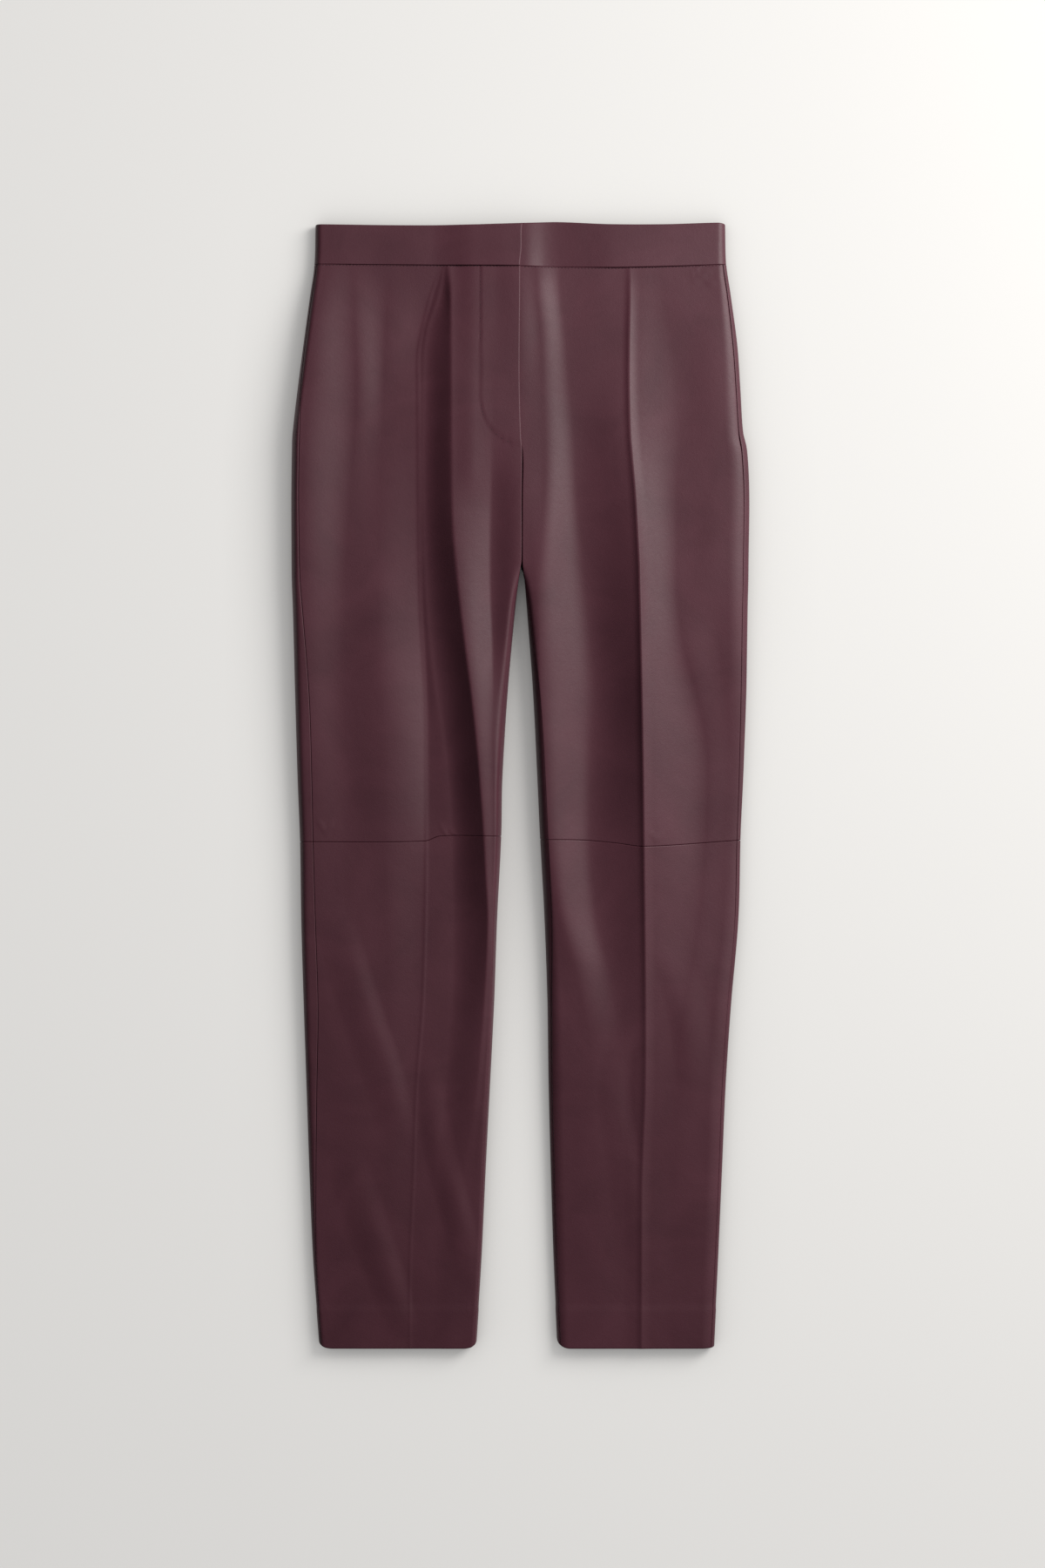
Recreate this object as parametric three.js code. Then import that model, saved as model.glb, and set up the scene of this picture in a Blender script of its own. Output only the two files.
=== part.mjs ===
// Leather trousers with pressed front creases, laid out flat with the front upwards.
// Millimetres: +X runs towards the wearer's left, +Y towards the waist, +Z up from the table.
// The origin is on the table, in the middle of the outline.
// "drop" is the distance down from the waistband's top edge.
// "across" is the distance from the centre line towards a leg's outer side.
import * as THREE from "three";

const { clamp, lerp, smoothstep } = THREE.MathUtils;

// A table with one heading row, as a list of rows with named columns.
function table(text) {
  const [names, ...rows] = text.trim().split("\n").map((line) => line.trim().split(/\s+/));
  return rows.map((row) => Object.fromEntries(names.map((name, i) => [name, Number(row[i])])));
}

// Driving sizes
const LENGTH = 1008; // waistband's top edge to the hem
const BAND_DEPTH = 39; // waistband's top edge to its seam
const FLY_END = 201; // drop of the fly's lower end
const CROTCH = 312;
const KNEE = 554; // drop of the knee seam
const HEM_TURN = 36; // leather turned up inside the hem
const LEATHER = 1.2; // one layer
const BAND_WALL = 2.4; // the waistband is folded double
const HEM_WALL = 2; // the turned-up leather is thinned
const GAP = 0.4; // between pieces that meet
const UNDERLAP = 36; // how far the wearer's left front runs under the right one
const FLY_TUCK = 2; // the part of that underlap cut in one with the left front
const BEYOND = 0.5; // how far a panel's curve is followed past its edges

// Heights of the laid-out cloth, one row for each level down the trousers.
// crown: the front's general height; side: height of the outermost point of the rolled edge.
const HEIGHTS = [
  { drop: 0, crown: 12.6, side: 5.5 },
  { drop: 39, crown: 14, side: 6 },
  { drop: 67, crown: 17, side: 7 },
  { drop: 113, crown: 19.5, side: 8 },
  { drop: 191, crown: 22, side: 9.5 },
  { drop: 246, crown: 22, side: 10 },
  { drop: 309, crown: 22, side: 10 },
  { drop: 425, crown: 20.5, side: 9.5 },
  { drop: 554, crown: 18.5, side: 8.5 },
  { drop: 704, crown: 16.5, side: 8 },
  { drop: 854, crown: 14.5, side: 7 },
  { drop: 1008, crown: 13, side: 6 },
];

// The wearer's right leg. outer, crease and inner are lines across the front; outseam and inseam
// are how far inside the outline the seams lie, because the back rolls round onto the front. bandRelief
// is how the waistband stands up or dips; rolls are the widths over which the two edges roll down.
const RIGHT = {
  side: -1,
  lap: 1,
  ridge: { share: 0.25, inward: 3, outward: 3 },
  cut: [
    { drop: 0, outer: 183.5, crease: 70, inner: -2.2, outseam: 2, inseam: 0 },
    { drop: 39, outer: 184.5, crease: 71, inner: -0.2, outseam: 2, inseam: 0 },
    { drop: 67, outer: 188.4, crease: 80, inner: 0, outseam: 2, inseam: 0 },
    { drop: 113, outer: 194.6, crease: 90.4, inner: 0.4, outseam: 2, inseam: 0 },
    { drop: 151, outer: 199.5, crease: 91, inner: 0.3, outseam: 3.5, inseam: 0 },
    { drop: 191, outer: 204, crease: 90.8, inner: -0.8, outseam: 7, inseam: 0 },
    { drop: 207, outer: 204.5, crease: 90.7, inner: -1.6, outseam: 7, inseam: 0 },
    { drop: 246, outer: 205, crease: 90.4, inner: -1.3, outseam: 7, inseam: 0 },
    { drop: 304, outer: 204.8, crease: 89.9, inner: -1.1, outseam: 7.5, inseam: 0 },
    { drop: 314, outer: 204.7, crease: 89.7, inner: 0.3, outseam: 7.7, inseam: 0 },
    { drop: 324, outer: 204.5, crease: 89.5, inner: 1.6, outseam: 8, inseam: 0.8 },
    { drop: 347, outer: 203.6, crease: 88.8, inner: 4.3, outseam: 9, inseam: 2 },
    { drop: 425, outer: 201.6, crease: 84.9, inner: 11.3, outseam: 13, inseam: 2.5 },
    { drop: 503, outer: 199.3, crease: 84.1, inner: 16, outseam: 13, inseam: 2.5 },
    { drop: 554, outer: 197.3, crease: 84, inner: 17, outseam: 12, inseam: 2.5 },
    { drop: 628, outer: 196.2, crease: 84.9, inner: 20.7, outseam: 13, inseam: 2.5 },
    { drop: 704, outer: 194, crease: 87.4, inner: 23.4, outseam: 13, inseam: 2.5 },
    { drop: 776, outer: 191.6, crease: 92.9, inner: 27, outseam: 9.5, inseam: 2.5 },
    { drop: 854, outer: 189, crease: 95.4, inner: 31, outseam: 6, inseam: 2.5 },
    { drop: 931, outer: 185.8, crease: 98.5, inner: 34.6, outseam: 3, inseam: 2.5 },
    { drop: 1008, outer: 180.2, crease: 98.8, inner: 39.4, outseam: 2, inseam: 2.5 },
  ],
  kneeLine: [
    { across: 17, drop: 549.5 },
    { across: 72, drop: 549.5 },
    { across: 86, drop: 554 },
    { across: 200, drop: 554.5 },
  ],
  bandTop: [
    { across: 0, drop: 2 },
    { across: 90, drop: 3 },
    { across: 184, drop: 2 },
  ],
  bandSeam: [
    { across: 0, drop: 39.8 },
    { across: 90, drop: 38.8 },
    { across: 184, drop: 38 },
  ],
  bandRelief: [
    { across: 0, high: 2.6 },
    { across: 16, high: 2.4 },
    { across: 38, high: 1.4 },
    { across: 60, high: 0.7 },
    { across: 96, high: 0.9 },
    { across: 130, high: 0.4 },
    { across: 160, high: 0.8 },
    { across: 184, high: 0.6 },
  ],
  rolls: [
    { drop: 0, outer: 6, inner: 4 },
    { drop: 113, outer: 6.5, inner: 4 },
    { drop: 246, outer: 6.5, inner: 5 },
    { drop: 309, outer: 6.5, inner: 6 },
    { drop: 378, outer: 6.5, inner: 7 },
    { drop: 425, outer: 6.5, inner: 8 },
    { drop: 471, outer: 6.5, inner: 7 },
    { drop: 534, outer: 6.5, inner: 6 },
    { drop: 627, outer: 6, inner: 4.5 },
    { drop: 704, outer: 6, inner: 4.5 },
    { drop: 854, outer: 6, inner: 4.5 },
    { drop: 1008, outer: 5, inner: 4.5 },
  ],
  hemLift: { outer: 6, inner: 6 },
};

const LEFT = {
  side: 1,
  lap: 0,
  ridge: { share: 0.9, inward: 6, outward: 9 },
  cut: [
    { drop: 0, outer: 183.5, crease: 98, inner: -1.6, outseam: 3, inseam: 0 },
    { drop: 39, outer: 184.5, crease: 98, inner: -1.6, outseam: 3, inseam: 0 },
    { drop: 67, outer: 188.4, crease: 98, inner: -1.6, outseam: 3, inseam: 0 },
    { drop: 113, outer: 194.4, crease: 97.2, inner: -1.6, outseam: 4, inseam: 0 },
    { drop: 151, outer: 197, crease: 97.1, inner: -1.6, outseam: 4, inseam: 0 },
    { drop: 191, outer: 199.5, crease: 98.2, inner: -1.6, outseam: 4, inseam: 0 },
    { drop: 207, outer: 203, crease: 99.4, inner: 1.9, outseam: 5, inseam: 0 },
    { drop: 246, outer: 205, crease: 102.8, inner: 1.8, outseam: 5, inseam: 0 },
    { drop: 304, outer: 204.4, crease: 106, inner: 1.7, outseam: 5, inseam: 0 },
    { drop: 314, outer: 204.3, crease: 106.3, inner: 2.4, outseam: 5, inseam: 0 },
    { drop: 324, outer: 204.2, crease: 106.5, inner: 3.7, outseam: 5, inseam: 0.8 },
    { drop: 347, outer: 203.6, crease: 107, inner: 5.6, outseam: 5, inseam: 2 },
    { drop: 425, outer: 202.4, crease: 108.5, inner: 11.3, outseam: 5, inseam: 6 },
    { drop: 503, outer: 199.6, crease: 109.8, inner: 15.2, outseam: 4, inseam: 7 },
    { drop: 554, outer: 197.3, crease: 110.4, inner: 17.5, outseam: 3.5, inseam: 7 },
    { drop: 628, outer: 195.4, crease: 111.3, inner: 21.5, outseam: 3.5, inseam: 6.5 },
    { drop: 704, outer: 188.8, crease: 111.9, inner: 24.2, outseam: 3.5, inseam: 3.5 },
    { drop: 776, outer: 184, crease: 111.7, inner: 25.2, outseam: 3.5, inseam: 3 },
    { drop: 854, outer: 180.6, crease: 109, inner: 27.2, outseam: 3, inseam: 3 },
    { drop: 931, outer: 177.2, crease: 108.6, inner: 29.6, outseam: 3, inseam: 3 },
    { drop: 1008, outer: 173.5, crease: 108.4, inner: 33, outseam: 3, inseam: 3 },
  ],
  kneeLine: [
    { across: 17, drop: 552.5 },
    { across: 55, drop: 553 },
    { across: 84, drop: 555.5 },
    { across: 111, drop: 558.5 },
    { across: 200, drop: 553 },
  ],
  bandTop: [
    { across: -36, drop: 2 },
    { across: 8, drop: 0.8 },
    { across: 34, drop: 0 },
    { across: 80, drop: 2 },
    { across: 130, drop: 2 },
    { across: 177, drop: 0.5 },
    { across: 184, drop: 1.2 },
  ],
  bandSeam: [
    { across: -36, drop: 38.9 },
    { across: -16, drop: 39.4 },
    { across: 0, drop: 39.8 },
    { across: 80, drop: 41 },
    { across: 130, drop: 40 },
    { across: 184, drop: 38 },
  ],
  bandRelief: [
    { across: -36, high: 1.1 },
    { across: -16, high: 2.1 },
    { across: 0, high: 2.3 },
    { across: 8, high: 1.8 },
    { across: 24, high: -0.8 },
    { across: 38, high: -1.2 },
    { across: 60, high: -0.1 },
    { across: 84, high: 0.6 },
    { across: 130, high: 0.2 },
    { across: 184, high: -0.8 },
  ],
  rolls: [
    { drop: 0, outer: 7, inner: 4 },
    { drop: 39, outer: 8, inner: 4 },
    { drop: 67, outer: 10, inner: 4 },
    { drop: 113, outer: 13, inner: 4 },
    { drop: 191, outer: 16, inner: 4 },
    { drop: 246, outer: 18, inner: 4 },
    { drop: 309, outer: 18, inner: 5 },
    { drop: 425, outer: 16, inner: 7 },
    { drop: 554, outer: 14, inner: 8 },
    { drop: 704, outer: 15, inner: 12 },
    { drop: 854, outer: 14, inner: 12 },
    { drop: 1008, outer: 12, inner: 10 },
  ],
  hemLift: { outer: 1.5, inner: 8 },
};

// The relief of each front, line by line from the centre front outwards. A line runs down the leg: where it
// lies across, how high the leather is there, and how sharply it is edged inwards and outwards (0 soft,
// 1 pressed). A line without "across" is the pressed crease itself.
RIGHT.relief = {
  centre: table(`
    drop across high
    39   0      16
    67   0      19
    97   0      21.2
    144  0      22.8
    191  0      24.4
    246  0      25.8
    312  1      25.4
    378  9      23
    425  12     22.6
    534  17     22
    627  21     20.6
    704  24     18
    854  31     14.6
    1008 39     12.6`),
  flyHollow: table(`
    drop across high outward
    39   24     15.2 0
    67   24     18.4 0
    97   24     20.8 0
    144  24     22.6 0.1
    191  25     24   0.4
    237  26     23.2 0.9
    284  27     21.6 0.9
    331  27     20.6 0.8
    378  25     21   0.6
    425  24     23   0.3
    471  23.5   24.4 0
    534  22.5   24.4 0
    627  24     22.8 0
    704  27     20   0
    780  33     17.4 0
    854  40     14.9 0
    1008 50     12.7 0`),
  pleatCrest: table(`
    drop across high outward
    39   64     14.6 0
    67   62.5   18.6 1
    113  62     22.6 1
    191  61.5   26.4 1
    246  61     27.6 1
    284  60.5   28.2 1
    331  57     28.2 1
    378  51.5   28   0.9
    425  46     27.6 0.9
    471  41     27   0.8
    534  35.5   26   0.8
    580  32.5   25   0.8
    627  31     23.8 0.8
    704  33     21   0.5
    780  40     18   0.2
    854  50     15   0
    1008 62     12.8 0`),
  pleatFoot: table(`
    drop across high
    39   68     14
    67   72     14.6
    97   78     15.6
    144  79     16.8
    191  79     17.4
    246  79     17.4
    284  79     17
    331  78     16.2
    378  75     14.8
    425  71     13.8
    471  67     13.2
    534  62     12.8
    580  61     13
    627  60     13.2
    704  62     13.6
    780  68     13.7
    854  74     13.5
    1008 80     12.4`),
  crease: table(`
    drop high outward
    39   13.6 0
    58   13.4 0
    67   13.6 0
    97   14.4 0
    144  15.4 0.1
    191  16   0.2
    246  16.2 0.3
    309  15.2 0.5
    378  13.4 0.8
    425  12.4 1
    471  12   1
    534  12   0.9
    580  12.8 0.5
    627  13.2 0.2
    704  13.4 0
    780  13.4 0
    854  13.3 0
    1008 12.2 0`),
  hipHollow: table(`
    drop across high
    39   120    13.6
    67   119    14.4
    97   120    15
    144  122    15.4
    191  123    16.2
    246  125    17.6
    309  126    19
    378  126    19.8
    425  124    20
    471  122    19.6
    534  120    18.2
    580  121    16.6
    627  120    15.8
    704  118    15
    854  118    13.8
    1008 118    12.3`),
  outerFoot: table(`
    drop across high
    39   150    13.8
    67   149    15.6
    97   148    16.8
    144  146    17
    191  148    17.4
    246  152    18
    309  156    18.4
    378  158    18.4
    425  158    18
    471  157    17.6
    534  155    16.8
    627  152    16
    704  150    15.4
    854  146    13.8
    1008 140    12.3`),
  outerCrest: table(`
    drop across high
    39   172    14.4
    67   178    17.6
    97   184    21
    144  188    23.6
    191  192    24.4
    246  194    24.2
    309  194    23.4
    378  193    22
    425  191    20.8
    471  190    19.8
    534  188    18.4
    627  185    17
    704  180    15.6
    854  170    13.6
    1008 160    12.2`),
};
LEFT.relief = {
  centre: table(`
    drop across high
    39   0      16
    67   0      19
    97   0      21.2
    144  0      22.8
    191  0      24.4
    246  0      25.8
    312  2      25.4
    378  9      24
    425  12     23.6
    534  17     22.6
    627  21.5   20
    704  24     18
    822  27     14.6
    1008 33     12.6`),
  innerCrest: table(`
    drop across high
    39   14     15.6
    67   15     18
    97   18     19.6
    144  20     21.8
    190  22     23.6
    237  22     25
    284  19     25.6
    331  16     25.8
    378  17     25.6
    425  19     25.2
    471  22     24.8
    534  25     23.8
    580  30     22.8
    627  38     21.6
    674  50     19.4
    736  62     17.4
    799  66     16
    854  68     14.8
    1008 68     12.8`),
  trough: table(`
    drop across high inward
    39   36     13.4 0
    58   36     13.6 0
    97   40     15.8 0
    144  44     18.2 0
    191  48     18.8 0
    237  52     18.2 0
    284  57     16.8 0
    331  61     15.2 0
    378  65     14.2 0
    424  65     13.8 0
    471  63     13.4 0
    534  62     13.2 0
    580  64     13.6 0
    627  69     14   0
    674  80     15   0
    736  89     15.9 0
    799  92     15   0
    854  92     14.2 0
    1008 92     12.6 0`),
  crease: table(`
    drop high inward outward
    39   13.6 0      0
    58   14.8 0      0
    97   17.4 0      0.2
    144  20.8 0.1    0.4
    190  23.2 0.2    0.6
    237  25.2 0.4    0.6
    284  26.8 0.6    0.6
    331  27.6 0.7    0.6
    378  27.6 0.7    0.5
    424  27.6 0.8    0.4
    471  27.2 0.9    0.3
    534  25.8 0.8    0.3
    580  23.6 0.8    0.4
    627  21.4 0.8    0.5
    674  19.6 0.7    0.5
    736  18.2 0.5    0.5
    799  16.6 0.4    0.4
    854  15.4 0.4    0.4
    1008 13.2 0.4    0.4`),
  valley: table(`
    drop across high
    39   126    13
    67   128    14.4
    97   134    15.4
    144  140    16.6
    191  142    17.2
    237  140    18
    284  140    18.2
    331  140    19
    378  146    18.6
    424  156    16.2
    471  164    14
    534  164    13.2
    580  162    13.6
    627  160    14.4
    674  152    15.6
    736  142    16.2
    799  140    15.4
    854  138    14.2
    1008 138    12.4`),
  outerCrest: table(`
    drop across high
    39   168    12.8
    67   172    14.4
    97   176    16
    144  180    17.8
    191  180    18.6
    237  180    18.8
    284  178    19
    331  176    19.2
    378  178    16.8
    424  184    14.6
    471  188    13
    534  188    12.2
    580  186    12.6
    627  182    13.4
    704  172    15
    854  162    14.2
    1008 155    12.4`),
};

// The crease's own fine ridge, on top of the relief.
const RIDGE = table(`
    drop lift
    39   0.4
    67   1.2
    113  1.6
    425  1.7
    704  1.3
    1008 0.9`);

const BURGUNDY = new THREE.MeshStandardMaterial({ color: 0x5a3540, roughness: 0.42, metalness: 0 });

const fractions = (count) => Array.from({ length: count + 1 }, (_, k) => k / count);

// Reads a column of a table at a place along its key, on a smooth curve through its rows.
function at(table, column, place, key = "drop") {
  const last = table.length - 1;
  let i = 0;
  while (i < last - 1 && table[i + 1][key] < place) i++;
  const a = table[i];
  const b = table[i + 1];
  const before = table[Math.max(i - 1, 0)];
  const after = table[Math.min(i + 2, last)];
  const span = b[key] - a[key];
  const t = clamp((place - a[key]) / span, 0, 1);
  const leave = (span * (b[column] - before[column])) / (b[key] - before[key]);
  const arrive = (span * (after[column] - a[column])) / (after[key] - a[key]);
  const back = 1 - t;
  return (
    back * back * ((1 + 2 * t) * a[column] + t * leave) +
    t * t * ((3 - 2 * t) * b[column] - back * arrive)
  );
}

// A quarter of an ellipse: 0 at an edge, rising upright, and 1 a whole share away from it.
function quarter(share) {
  const left = 1 - clamp(share, 0, 1);
  return Math.sqrt(1 - left * left);
}

// Height of the relief at a place. Between two lines it follows a soft S, mixed with a curve that steepens
// up to a pressed edge.
function reliefHeight(leg, across, drop) {
  const lines = Object.values(leg.relief).map((line) => ({
    across: "across" in line[0] ? at(line, "across", drop) : at(leg.cut, "crease", drop),
    high: at(line, "high", drop),
    inward: "inward" in line[0] ? clamp(at(line, "inward", drop), 0, 1) : 0,
    outward: "outward" in line[0] ? clamp(at(line, "outward", drop), 0, 1) : 0,
  }));
  const next = lines.findIndex((line) => line.across >= across);
  if (next === 0) return lines[0].high;
  if (next < 0) return lines[lines.length - 1].high;
  const [a, b] = [lines[next - 1], lines[next]];
  const t = clamp((across - a.across) / Math.max(b.across - a.across, 3), 0, 1);
  const soft = t * t * (3 - 2 * t);
  const toEdge = b.inward * (t ** 1.8 - soft);
  const fromEdge = a.outward * (1 - (1 - t) ** 1.8 - soft);
  return lerp(a.high, b.high, soft + toEdge + fromEdge);
}

// Height of the front's outer face above the table.
function height(leg, across, drop) {
  const side = at(HEIGHTS, "side", drop);
  const fromCrease = across - at(leg.cut, "crease", drop);
  const flank = fromCrease > 0 ? leg.ridge.outward : leg.ridge.inward;
  const slope = 1 - Math.min(1, Math.abs(fromCrease) / flank);
  const nearFly = (1 - smoothstep(across, 40, 60)) * (1 - smoothstep(drop, FLY_END + 12, FLY_END + 60));
  const ridge = leg.ridge.share * at(RIDGE, "lift", drop) * slope * slope;
  const top = reliefHeight(leg, across, drop) + ridge + leg.lap * (LEATHER + GAP) * nearFly;
  const fromOuter = at(leg.cut, "outer", drop) - across;
  const fromInner = across - at(leg.cut, "inner", drop);
  const parted = smoothstep(drop, CROTCH - 8, CROTCH + 40);
  const innerEdge = 1 - parted * (1 - quarter(fromInner / at(leg.rolls, "inner", drop)));
  return side + (top - side) * quarter(fromOuter / at(leg.rolls, "outer", drop)) * innerEdge;
}

// Height of the waistband's outer face on the front.
function bandHeight(leg, across, drop) {
  const side = at(HEIGHTS, "side", drop);
  const lift = at(leg.bandRelief, "high", across, "across") * (0.6 + drop / 98);
  const overlap = leg.lap * (BAND_WALL + GAP) * (1 - smoothstep(across, 42, 80));
  const fromOuter = at(leg.cut, "outer", drop) - across;
  const top = at(HEIGHTS, "crown", drop) + overlap + lift;
  return side + (top - side) * quarter(fromOuter / at(leg.rolls, "outer", drop));
}

// The back's section at a drop, as points round the leg. It starts at the outseam on top, rolls down
// round the outer side, lies on the table and, below the crotch, rolls up round the inner side to the
// inseam. One more point beyond each end carries the curve on. Each point is [across, height].
function backSection(leg, drop) {
  const outer = at(leg.cut, "outer", drop);
  const side = at(HEIGHTS, "side", drop);
  const inner = at(leg.cut, "inner", drop);
  const onTop = (across) => [across, height(leg, across, drop)];
  const reach = at(leg.cut, "outseam", drop) - GAP / 2;
  const roll = fractions(14).map((s) => onTop(outer - reach * (1 - s) ** 2));
  for (const s of fractions(14).slice(1))
    roll.push([outer - side * (1 - Math.cos((s * Math.PI) / 2)), side * (1 - Math.sin((s * Math.PI) / 2))]);
  const rise = side * smoothstep(drop, CROTCH - 45, CROTCH);
  const centre = Math.max(GAP / 2, lerp(GAP / 2, inner, smoothstep(drop, CROTCH - 2, CROTCH + 10)));
  const wrap = fractions(12).map((s) => [
    centre + rise * (1 - Math.sin((s * Math.PI) / 2)),
    rise * (1 - Math.cos((s * Math.PI) / 2)),
  ]);
  const lip = at(leg.cut, "inseam", drop) - GAP / 2;
  const folded = drop > CROTCH && lip > 0;
  if (folded) for (const s of fractions(5).slice(1)) wrap.push(onTop(Math.max(centre, inner) + lip * s * s));
  const before = onTop(roll[0][0] - BEYOND);
  const after = folded ? onTop(inner + lip + BEYOND) : [centre, rise + BEYOND];
  return { before, roll, wrap, after };
}

function runOf(points) {
  const run = [0];
  for (let i = 1; i < points.length; i++)
    run.push(run[i - 1] + Math.hypot(points[i][0] - points[i - 1][0], points[i][1] - points[i - 1][1]));
  return run;
}

// The point at a distance along a line of points.
function along(points, run, distance) {
  let i = 1;
  while (i < run.length - 1 && run[i] < distance) i++;
  const t = clamp((distance - run[i - 1]) / (run[i] - run[i - 1]), 0, 1);
  return [lerp(points[i - 1][0], points[i][0], t), lerp(points[i - 1][1], points[i][1], t)];
}

// Carries a row of points one step on, past both of its ends.
function carriedOn(points) {
  const past = (end, next) => [2 * end[0] - next[0], 2 * end[1] - next[1]];
  const last = points.length - 1;
  return [past(points[0], points[1]), ...points, past(points[last], points[last - 1])];
}

// A sheet of leather as a closed solid. The grid holds its outer face, row by row down the trousers and
// in each row round the leg, with one more point past each end of a row that only steers the surface's
// normal there. The inner face lies one wall further in along the normal.
function sheet(name, side, grid, wall) {
  const rows = grid.length;
  const columns = grid[0].length - 2;
  const pick = (i, j) => grid[clamp(i, 0, rows - 1)][j + 1];
  const outside = [];
  const inside = [];
  for (let i = 0; i < rows; i++)
    for (let j = 0; j < columns; j++) {
      const round = pick(i, j === 0 ? 0 : j + 1).clone().sub(pick(i, j === columns - 1 ? j : j - 1));
      const down = pick(i + 1, j).clone().sub(pick(i - 1, j));
      const thick = wall(pick(i, j), j === 0 || j === columns - 1);
      const inward = round.cross(down).normalize().multiplyScalar(side * thick);
      outside.push(...pick(i, j).toArray());
      inside.push(...pick(i, j).clone().add(inward).toArray());
    }
  const faces = [];
  const quad = (a, b, c, d) => faces.push(...(side < 0 ? [a, b, c, a, c, d] : [a, c, b, a, d, c]));
  const under = rows * columns;
  const index = (i, j) => i * columns + j;
  for (let i = 0; i < rows - 1; i++)
    for (let j = 0; j < columns - 1; j++) {
      const [a, b, c, d] = [index(i, j), index(i, j + 1), index(i + 1, j + 1), index(i + 1, j)];
      quad(a, b, c, d);
      quad(a + under, d + under, c + under, b + under);
      if (i === 0) quad(b, a, a + under, b + under);
      if (i === rows - 2) quad(d, c, c + under, d + under);
      if (j === 0) quad(a, d, d + under, a + under);
      if (j === columns - 2) quad(c, b, b + under, c + under);
    }
  const geometry = new THREE.BufferGeometry();
  geometry.setAttribute("position", new THREE.Float32BufferAttribute([...outside, ...inside], 3));
  geometry.setIndex(faces);
  geometry.computeVertexNormals();
  const mesh = new THREE.Mesh(geometry, BURGUNDY.clone());
  mesh.name = name;
  return mesh;
}

const place = (leg, across, drop, z) => new THREE.Vector3(leg.side * across, LENGTH / 2 - drop, z);

// Lines that a panel starts or ends on, as the drop at a place across.
const bandLine = (leg) => (across) => at(leg.bandSeam, "drop", across, "across") + GAP / 2;
const kneeAbove = (leg) => (across) => at(leg.kneeLine, "drop", across, "across") - GAP / 2;
const kneeBelow = (leg) => (across) => at(leg.kneeLine, "drop", across, "across") + GAP / 2;

// The hem, with its two corners lifted a little.
function hemLine(leg) {
  const outer = at(leg.cut, "outer", LENGTH);
  const inner = at(leg.cut, "inner", LENGTH);
  const corner = (inside, lift) => lift * (1 - quarter(inside / 12));
  return (across) => LENGTH - corner(outer - across, leg.hemLift.outer) - corner(across - inner, leg.hemLift.inner);
}

// The wall is thicker where the hem is turned up inside, but not at the panel's own edges.
const shinWall = (point, atEdge) => (LENGTH / 2 - point.y > LENGTH - HEM_TURN && !atEdge ? HEM_WALL : LEATHER);

// Lays the rows of a panel between its upper and lower lines. section(drop) gives a row's points.
function panel(name, leg, section, upper, lower, rowShares, wall) {
  const grid = rowShares.map((share) => {
    const count = section(lerp(upper(90), lower(90), share)).length;
    return Array.from({ length: count }, (_, j) => {
      let across = 90;
      let drop, z;
      for (let pass = 0; pass < 4; pass++) {
        drop = lerp(upper(across), lower(across), share);
        [across, z] = section(drop)[j];
      }
      return place(leg, across, drop, z);
    });
  });
  return sheet(name, leg.side, grid, wall);
}

// A front panel's section, from the centre front or the inseam to the outseam.
function frontSection(leg) {
  const toCrease = [0, 0.02, 0.06, 0.12, 0.19, 0.26, 0.33, 0.41, 0.49, 0.57, 0.64, 0.7, 0.77, 0.84, 0.91, 0.96];
  const toOuter = [0, 0.05, 0.12, 0.24, 0.37, 0.5, 0.63, 0.76, 0.87, 0.95, 1];
  return (drop) => {
    const start = at(leg.cut, "inner", drop) + at(leg.cut, "inseam", drop) + GAP / 2;
    const crease = at(leg.cut, "crease", drop);
    const end = at(leg.cut, "outer", drop) - at(leg.cut, "outseam", drop) - GAP / 2;
    const places = [
      start - BEYOND,
      ...toCrease.map((share) => lerp(start, crease, share)),
      ...toOuter.map((share) => lerp(crease, end, share)),
      end + BEYOND,
    ];
    return places.map((across) => [across, height(leg, across, drop)]);
  };
}

// A back panel's section, with its points close together on the two rolled sides.
function backPoints(leg) {
  const innerReach = 24;
  return (drop) => {
    const { before, roll, wrap, after } = backSection(leg, drop);
    const points = [...roll, ...wrap];
    const run = runOf(points);
    const rolled = run[roll.length - 1];
    const whole = run[run.length - 1];
    const distances = [
      ...fractions(9).map((s) => s * rolled),
      ...[0.3, 0.7].map((s) => lerp(rolled, whole - innerReach, s)),
      ...fractions(6).map((s) => whole - innerReach * (1 - s)),
    ];
    return [before, ...distances.map((distance) => along(points, run, distance)), after];
  };
}

// Half of the waistband, from the front opening over the front, round the side and along the back.
function band(name, leg) {
  const grid = [0, 0.5, 1].map((share) => {
    const nominal = lerp(2, BAND_DEPTH, share);
    const start = leg.lap ? at(leg.cut, "inner", nominal) : -UNDERLAP;
    const inside = at(leg.rolls, "outer", nominal);
    const outer = at(leg.cut, "outer", nominal);
    const side = at(HEIGHTS, "side", nominal);
    const points = [];
    for (const s of fractions(18)) points.push(lerp(start, outer - inside, s));
    for (const s of fractions(6).slice(1)) points.push(outer - inside * (1 - s) ** 2);
    const row = points.map((across) => [across, bandHeight(leg, across, nominal)]);
    for (const s of fractions(6).slice(1))
      row.push([outer - side * (1 - Math.cos((s * Math.PI) / 2)), side * (1 - Math.sin((s * Math.PI) / 2))]);
    for (const s of fractions(5).slice(1)) row.push([lerp(outer - side, GAP / 2, s), 0]);
    return carriedOn(row).map(([across, z]) => {
      const edge = at(leg.bandTop, "drop", across, "across");
      const seam = at(leg.bandSeam, "drop", across, "across") - GAP / 2;
      return place(leg, across, lerp(edge, seam, share), z);
    });
  });
  return sheet(name, leg.side, grid, () => BAND_WALL);
}

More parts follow.
